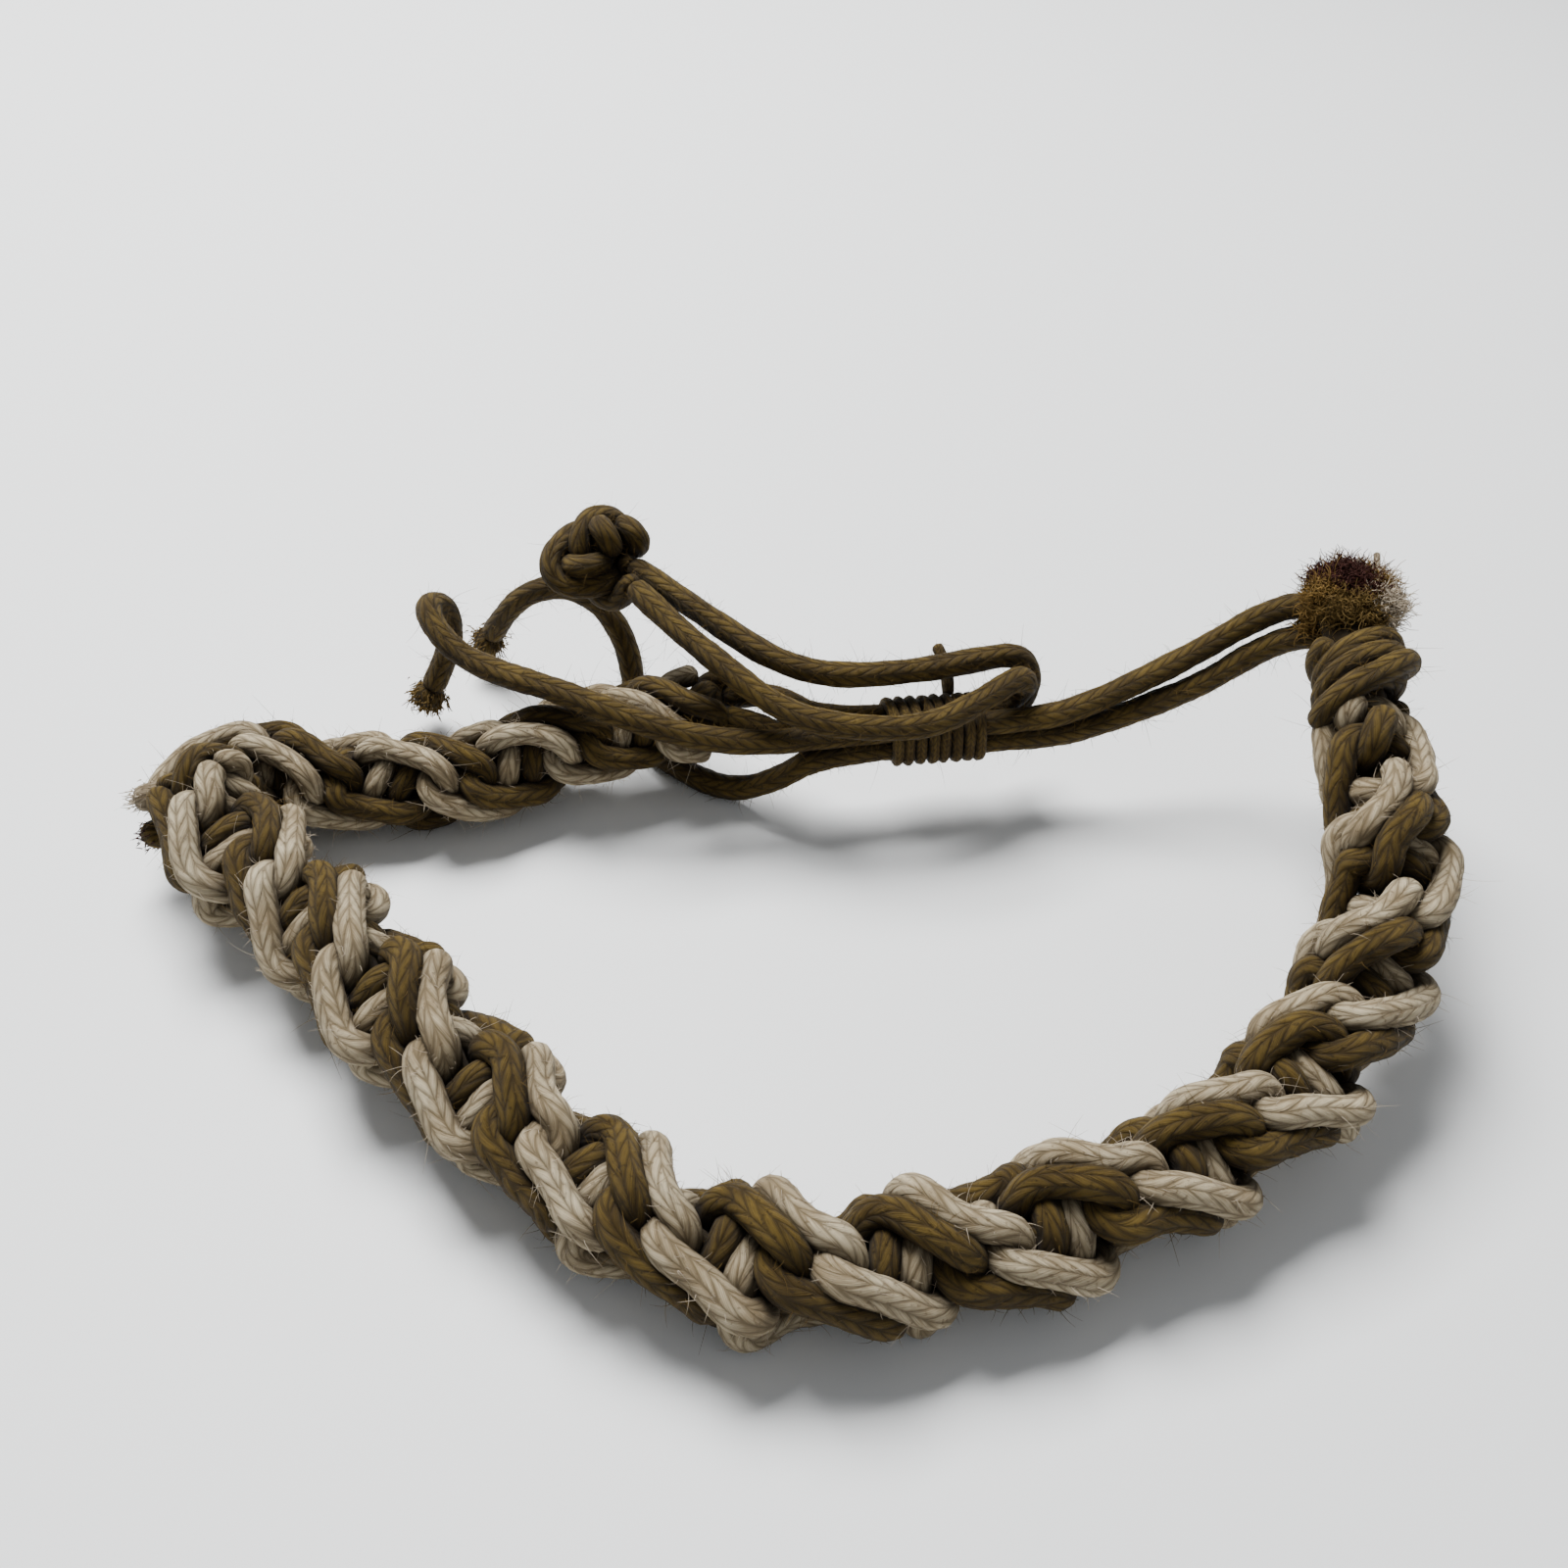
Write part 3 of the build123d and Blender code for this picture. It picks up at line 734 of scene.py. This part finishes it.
def make_band():
    """The braided working cords, the core cords and their stray fibres."""
    lines = settle(sennit_lines())
    colours = {0: ("brown", BROWN, "brown_cord"), 1: ("cream", CREAM, "cream_cord")}
    fuzz = {0: [], 1: []}
    for (strand, cord), line in lines.items():
        colour, material, slot = colours[cord]
        near = np.argmin(np.linalg.norm(line[:, None] - band_line[None], axis=2), axis=1)
        split = int(np.argmax(band_along[near] > JOIN_DISTANCE))
        for stretch, part in (("front", line[:split]), ("back", line[split - 1:])):
            node = f"{stretch}_working_cord_{colour}_{strand + 1}"
            radius = CORD_RADIUS if stretch == "front" else BACK_CORD_RADIUS
            piece = tube_piece(f"{node}_braid", [part], radius, material)
            finish_piece(piece, "band", slot, node)
        fuzz[cord].append(line)
    for cord, material in ((0, BROWN_FIBRE), (1, CREAM_FIBRE)):
        colour, _, slot = colours[cord]
        name = f"{colour}_cord_fibres"
        piece = fuzz_piece(
            name, fuzz[cord], CORD_RADIUS, FUZZ_ON_BAND, material, centre=band_line, long=0.95
        )
        finish_piece(piece, "band", slot)
    twist = HALF_KNOT_TURN / HALF_KNOT_PITCH
    along = np.arange(0, BAND_LENGTH, 0.7)
    for number, sign in ((1, -1), (2, 1)):
        angle = twist * along
        reach = sign * CORE_TWIST_RADIUS
        local = np.column_stack([reach * np.cos(angle), reach * np.sin(angle), along])
        piece = tube_piece(f"core_cord_{number}_braid", [onto_band(local)], CORE_RADIUS, BROWN)
        finish_piece(piece, "band", "brown_cord", f"core_cord_{number}")


def make_cut_ends():
    """Short cord ends that stick out at the join."""
    for name, points in CUT_ENDS.items():
        line = np.array(points)
        cream = name.endswith("cream")
        piece = tube_piece(f"{name}_braid", [line], CORD_RADIUS, DULL_CREAM if cream else BROWN)
        slot = "cream_cord" if cream else "dark_end"
        finish_piece(piece, "band", slot, name)
        heading = unit(line[-1] - line[-2])
        count = 150
        roots = line[-1] - heading * 0.7 + rng.normal(0, 0.4, (count, 3))
        directions = unit(heading + rng.normal(0, 0.45, (count, 3)))
        vertices, faces = hair_arrays(roots, directions, rng.uniform(0.2, 0.6, count), 0.4, 0.05)
        piece = add_mesh(f"{name}_fibres", vertices, faces, CREAM_FIBRE if cream else DARK_FIBRE)
        finish_piece(piece, "band", slot)


# ---------------------------------------------------------------- the right end


END_PLACE = band_line[0]
END_AXIS = -band_heading[0]
BACKWARD = unit(np.cross(END_AXIS, (1.0, 0, 0)))
if BACKWARD[1] < 0:
    BACKWARD = -BACKWARD


def on_end(right, back, up):
    """A point above the band's right end: to the right, back, and up along the whipping."""
    right, back, up = np.broadcast_arrays(right, back, up)
    place = END_PLACE + END_AXIS * up[..., None]
    return place + np.asarray((1.0, 0, 0)) * right[..., None] + BACKWARD * back[..., None]


def make_end_whipping():
    """Slanting turns of cord that bind the right end, with the last turn tucked across the front."""
    angle = np.linspace(0, 2 * math.pi * WHIPPING_TURNS, 150)
    height = 1.4 + WHIPPING_RISE * angle / (2 * math.pi)
    slant = 0.7 * np.cos(angle + 0.35) + 0.12 * np.sin(angle * 0.8)
    radius = WHIPPING_REACH + 0.2 * np.sin(angle * 0.63 + 1) + 0.1 * np.sin(angle * 1.7)
    wound = on_end(radius * np.cos(angle), radius * np.sin(angle), height + slant)
    tucked = [
        (-3.1, 0.4, 0.2), (-2.9, -1.2, 0.7), (-1.5, -2.6, 1.5), (0.4, -3.0, 2.6),
        (2.1, -2.3, 3.9), (2.9, -0.6, 4.8), (2.6, 1.2, 5.2),
    ]
    tucked = smooth_resample(np.array([on_end(*place) for place in tucked]), 0.4)
    lines = [wound, tucked]
    piece = tube_piece("end_whipping_braid", lines, WHIPPING_RADIUS, BROWN)
    finish_piece(piece, "band", "brown_cord", "end_whipping")
    fuzz = fuzz_piece("end_whipping_fibres", lines, WHIPPING_RADIUS, FUZZ_ON_WHIPPING, BROWN_FIBRE)
    finish_piece(fuzz, "band", "brown_cord")


def lump(name, rings, material, roughness):
    """A closed lumpy form from (right, back, up, radius) rings above the right end."""
    sides = 40
    vertices, faces = [], []
    for number, (right, back, up, radius) in enumerate(rings):
        for side in range(sides):
            angle = 2 * math.pi * side / sides
            lumps = math.sin(angle * 5 + number * 1.3) + 0.6 * math.sin(angle * 9 - number * 2.1)
            reach = radius * (1 + roughness * (lumps + 0.4 * rng.normal()))
            vertices.append(on_end(right + reach * math.cos(angle), back + reach * math.sin(angle), up))
    for number in range(len(rings) - 1):
        for side in range(sides):
            a = number * sides + side
            b = number * sides + (side + 1) % sides
            faces.append((a, b, b + sides, a + sides))
    faces.append(tuple(range(sides))[::-1])
    faces.append(tuple(range((len(rings) - 1) * sides, len(rings) * sides)))
    return add_mesh(name, np.array(vertices), faces, material)


# Clumps of the tuft, as balls: place to the right, back and up from the band's end, and radius.
TUFT_DARK = [
    ((-0.8, -0.2, 11.6), 1.7),
    ((0.8, 0.2, 11.7), 1.6),
    ((-0.2, -1.3, 10.9), 1.5),
    ((0.7, -1.5, 9.7), 1.1),
    ((2.2, 0.9, 11.0), 0.9),
]
TUFT_BROWN = [
    ((0.3, -1.5, 8.3), 1.2),
    ((-0.9, -1.3, 8.6), 1.0),
    ((0.6, 1.6, 10.0), 1.4),
    ((0.0, 2.0, 8.4), 1.0),
]
TUFT_OCHRE = [
    ((-1.8, -0.7, 9.9), 1.3),
    ((1.7, -1.5, 10.6), 0.8),
    ((-1.1, 1.2, 9.8), 1.5),
    ((2.3, 1.4, 9.2), 1.0),
]
TUFT_CREAM = [
    ((0.2, -0.4, 12.7), 0.8),
    ((1.7, -0.9, 11.9), 0.9),
    ((2.2, -0.8, 11.0), 0.9),
    ((1.6, -1.6, 8.9), 1.1),
    ((3.0, -0.8, 9.9), 0.6),
    ((2.2, 0.4, 9.0), 0.9),
]
# The bound cord ends, as rings: place to the right, back and up, and radius.
BOUND_ENDS = [
    (0, 0, -1.5, 1.3),
    (0, 0, 2, 1.4),
    (0, 0, 7.0, 1.6),
    (-0.1, 0, 8.4, 1.8),
    (0, 0, 10, 2.1),
    (0, 0, 11.6, 2.0),
    (0, 0, 12.6, 1.5),
    (0, 0, 13.0, 0.7),
]
TUFT_STRAW = [(1.9, -0.8, 11.0), (2.2, -0.9, 12.8), (2.4, -1.0, 14.4)]


def make_tuft():
    """The bound cord ends inside the whipping, and the singed and frayed ball of fibre above it."""
    piece = lump("bound_cord_ends_core", BOUND_ENDS, BROWN, 0.05)
    finish_piece(piece, "band", "dark_end", "bound_cord_ends")
    clumps = (
        ("tuft_dark_fibres", DARK_FIBRE, TUFT_DARK),
        ("tuft_brown_fibres", BROWN_FIBRE, TUFT_BROWN),
        ("tuft_ochre_fibres", OCHRE_FIBRE, TUFT_OCHRE),
        ("tuft_cream_fibres", CREAM_FIBRE, TUFT_CREAM),
    )
    for name, material, balls in clumps:
        roots, directions = [], []
        for centre, radius in balls:
            count = int(CLUMP_DENSITY * radius**2)
            outward = unit(rng.normal(0, 1, (count, 3)))
            bulge = 1 + 0.2 * np.sin(outward @ rng.normal(0, 4, 3))
            places = np.array(centre) + outward * (radius * bulge * rng.uniform(0.6, 1.0, count))[:, None]
            roots.append(on_end(places[:, 0], places[:, 1], places[:, 2]))
            heading = on_end(outward[:, 0], outward[:, 1], outward[:, 2] + 0.3) - END_PLACE
            directions.append(unit(0.2 * heading + rng.normal(0, 0.7, (count, 3))))
        roots, directions = np.concatenate(roots), np.concatenate(directions)
        lengths = rng.uniform(0.4, 1.0, len(roots))
        vertices, faces = hair_arrays(roots, directions, lengths, 0.5, CLUMP_HAIR_RADIUS, wave=0.25)
        finish_piece(add_mesh(name, vertices, faces, material), "band", "dark_end")
    straw = np.array([on_end(*place) for place in TUFT_STRAW])
    finish_piece(tube_piece("tuft_straw", [straw], 0.24, DULL_CREAM, ring=10), "band", "dark_end")


# ---------------------------------------------------------------- the closure


def thread_line(turns, pitch):
    """Turns of thread round the bundle of four tie cords."""
    angle = np.linspace(0, 2 * math.pi * turns, turns * 40)
    half = HALF_SPACING + TIE_RADIUS + THREAD_RADIUS * 0.3
    power = THREAD_SQUARENESS
    reach = half / (np.abs(np.cos(angle)) ** power + np.abs(np.sin(angle)) ** power) ** (1 / power)
    along = (angle / (2 * math.pi) - turns / 2) * pitch + 0.05 * np.sin(angle * 0.37)
    places = [slider_point(a, r * math.cos(t), r * math.sin(t)) for a, r, t in zip(along, reach, angle)]
    return np.array(places) / MM


def make_slider():
    """The thread whipping that slides on the tie cords, and its cut end."""
    line = thread_line(SLIDER_TURNS, SLIDER_THREAD_PITCH)
    options = {"ring": 12, "step": 0.14, "relief": 0.1, "stitch": 0.5}
    piece = tube_piece("slider_whipping_thread", [line], THREAD_RADIUS, THREAD, **options)
    finish_piece(piece, "slider", "thread", "slider_whipping")
    end = [(1.4, 2.0, 1.2), (1.4, 3.0, 2.3), (1.2, 4.1, 3.2), (0.9, 4.9, 3.7)]
    end = np.array([slider_point(*place) for place in end]) / MM
    piece = tube_piece("slider_thread_end_thread", [end], THREAD_RADIUS * 1.15, THREAD, **options)
    finish_piece(piece, "slider", "thread", "slider_thread_end")
    piece = fuzz_piece("slider_fibres", [line, end], THREAD_RADIUS, FUZZ_ON_SLIDER, BROWN_FIBRE)
    finish_piece(piece, "slider", "thread")


def frayed_tip(name, line):
    """A spreading brush of fibres at the end of a tail, round a flared stub."""
    heading = unit(line[-1] - line[-4])
    start = line[-1] - heading * 0.4
    stub = np.array([start, start + heading * 0.9, start + heading * 1.8])
    vertices, faces, uvs = tube_arrays(stub, 1.15)
    core = add_mesh(f"{name}_core", vertices, faces, BROWN, uvs)
    finish_piece(core, "band", "frayed_fibre", name)
    across = rng.normal(0, 0.55, (TIP_HAIRS, 3))
    across -= heading * (across @ heading)[:, None]
    roots = start + across + heading * rng.uniform(0.2, 1.6, (TIP_HAIRS, 1))
    directions = unit(heading * 1.2 + across * 0.7 + rng.normal(0, 0.25, (TIP_HAIRS, 3)))
    vertices, faces = hair_arrays(roots, directions, rng.uniform(0.2, 0.6, TIP_HAIRS), 0.5, 0.065)
    brush = add_mesh(f"{name}_fibres", vertices, faces, BROWN_FIBRE)
    finish_piece(brush, "band", "frayed_fibre")
    return [core, brush]


def knot_lines(first_leg, second_leg):
    """The two cords of the stopper knot: an overhand knot from the legs' ends to the stub on top."""
    axis = unit(np.array((0.35, -0.75, 0.55)))
    right = unit(np.cross((0, 0, 1.0), axis) * -1)
    if right[0] < 0:
        right = -right
    up = np.cross(axis, right)
    if up[2] < 0:
        up = -up
    angle = np.linspace(0.10, 2 * math.pi - 0.10, 64)
    ring = 2 + np.cos(3 * angle)
    x, y, z = ring * np.cos(2 * angle), ring * np.sin(2 * angle), np.sin(3 * angle)
    c, s = math.cos(KNOT_SLANT), math.sin(KNOT_SLANT)
    x, y = x * c - y * s, x * s + y * c
    trefoil = KNOT_CENTRE + KNOT_WIDTH * x[:, None] * right + KNOT_HEIGHT * y[:, None] * up
    trefoil = trefoil + KNOT_DEPTH * z[:, None] * axis
    tangents = unit(np.gradient(trefoil, axis=0))
    offset = unit(np.cross(tangents, axis))
    across = KNOT_CENTRE + 1.9 * right - 0.2 * up + 1.5 * axis
    top = KNOT_CENTRE + 0.9 * right + 1.6 * up + 0.6 * axis
    lines = []
    for leg, sign in ((first_leg, 1), (second_leg, -1)):
        body = trefoil + sign * 0.5 * offset
        lead = np.array([leg[-1] - unit(leg[-1] - leg[-3]) * 0.4, leg[-1]])
        stub = np.array([
            across + sign * 0.5 * right,
            top + sign * 0.4 * right,
            top + sign * 0.35 * right + 0.6 * up,
        ])
        lines.append(np.concatenate([lead, body[::-1], stub]))
    return tighten_knot(lines)


def tighten_knot(lines, rounds=160):
    """Draws the knot's cords up until they press on each other."""
    lines = [smooth_resample(line, 0.55) for line in lines]
    points = np.concatenate(lines)
    owner = np.concatenate([np.full(len(line), number) for number, line in enumerate(lines)])
    index = np.arange(len(points))
    ignored = (owner[:, None] == owner[None, :]) & (np.abs(index[:, None] - index[None, :]) <= 4)
    ends = np.concatenate([[0, 1, len(lines[0]) - 1], np.array([0, 1, len(lines[1]) - 1]) + len(lines[0])])
    held = points[ends].copy()
    inner = index[1:-1][(owner[1:-1] == owner[:-2]) & (owner[1:-1] == owner[2:])]
    for step in range(rounds):
        points += push_apart(points, points, KNOT_SPACING, ignored)
        points[inner] += 0.3 * (0.5 * (points[inner - 1] + points[inner + 1]) - points[inner])
        points[ends] = held
    return [points[owner == number] for number in (0, 1)]


def make_closure():
    """The tie cords with their stopper knot and frayed tips."""
    lines = {name: spline_points(route) for name, route in TIE_ROUTES.items()}
    for name, line in lines.items():
        piece = tube_piece(f"{name}_braid", [line], TIE_RADIUS, BROWN)
        finish_piece(piece, "band", "brown_cord", name)
    knot = knot_lines(lines["tie_cord_left_1"], lines["tie_cord_left_2"])
    knot_piece = tube_piece("stopper_knot_braid", knot, KNOT_CORD_RADIUS, BROWN)
    finish_piece(knot_piece, "band", "brown_cord", "stopper_knot")
    tips = {
        number: frayed_tip(f"frayed_tip_{number}", lines[f"tie_cord_right_{number}"]) for number in (1, 2)
    }
    fuzz = fuzz_piece(
        "tie_cord_fibres", list(lines.values()), TIE_RADIUS, FUZZ_ON_TIES, BROWN_FIBRE, long=1.5
    )
    finish_piece(fuzz, "band", "brown_cord")
    knot_fuzz = fuzz_piece(
        "stopper_knot_fibres", knot, KNOT_CORD_RADIUS, FUZZ_ON_KNOT, BROWN_FIBRE, long=2.4
    )
    finish_piece(knot_fuzz, "band", "brown_cord")


# ---------------------------------------------------------------- stage


def make_stage():
    """A plain pale floor, soft light from above and behind on the left, and a low fill."""
    floor_material = bpy.data.materials.new("pale_floor")
    floor_material.use_nodes = True
    shader = floor_material.node_tree.nodes["Principled BSDF"]
    shader.inputs["Base Color"].default_value = (0.77, 0.78, 0.78, 1)
    shader.inputs["Roughness"].default_value = 0.55
    bpy.ops.mesh.primitive_plane_add(size=3)
    floor = bpy.context.object
    floor.name = "floor"
    floor.data.materials.append(floor_material)
    for name, place, size, power in (
        ("key", (-0.14, 0.26, 0.46), 0.28, 8.6),
        ("fill", (0.25, -0.40, 0.55), 0.60, 0.5),
    ):
        light = bpy.data.lights.new(name, "AREA")
        light.size = size
        light.energy = power
        holder = bpy.data.objects.new(name, light)
        holder.location = place
        holder.rotation_euler = (Vector((0, 0, 0)) - Vector(place)).to_track_quat("-Z", "Y").to_euler()
        bpy.context.collection.objects.link(holder)
    world = bpy.data.worlds.new("studio")
    world.use_nodes = True
    world.node_tree.nodes["Background"].inputs[0].default_value = (0.93, 0.96, 1.0, 1)
    world.node_tree.nodes["Background"].inputs[1].default_value = 0.27
    bpy.context.scene.world = world


def make_camera():
    """The camera, from the front and above at 41 degrees, slightly rolled."""
    data = bpy.data.cameras.new("camera")
    data.lens = CAMERA_LENS
    data.sensor_width = 36.0
    data.clip_start = 0.005
    camera = bpy.data.objects.new("camera", data)
    camera.matrix_world = (
        Matrix.Translation(CAMERA_PLACE)
        @ Matrix.Rotation(math.radians(CAMERA_TILT), 4, "X")
        @ Matrix.Rotation(math.radians(CAMERA_ROLL), 4, "Z")
    )
    bpy.context.collection.objects.link(camera)
    bpy.context.scene.camera = camera


make_camera()
make_stage()
make_closure()
make_slider()
make_end_whipping()
make_tuft()
make_cut_ends()
make_band()
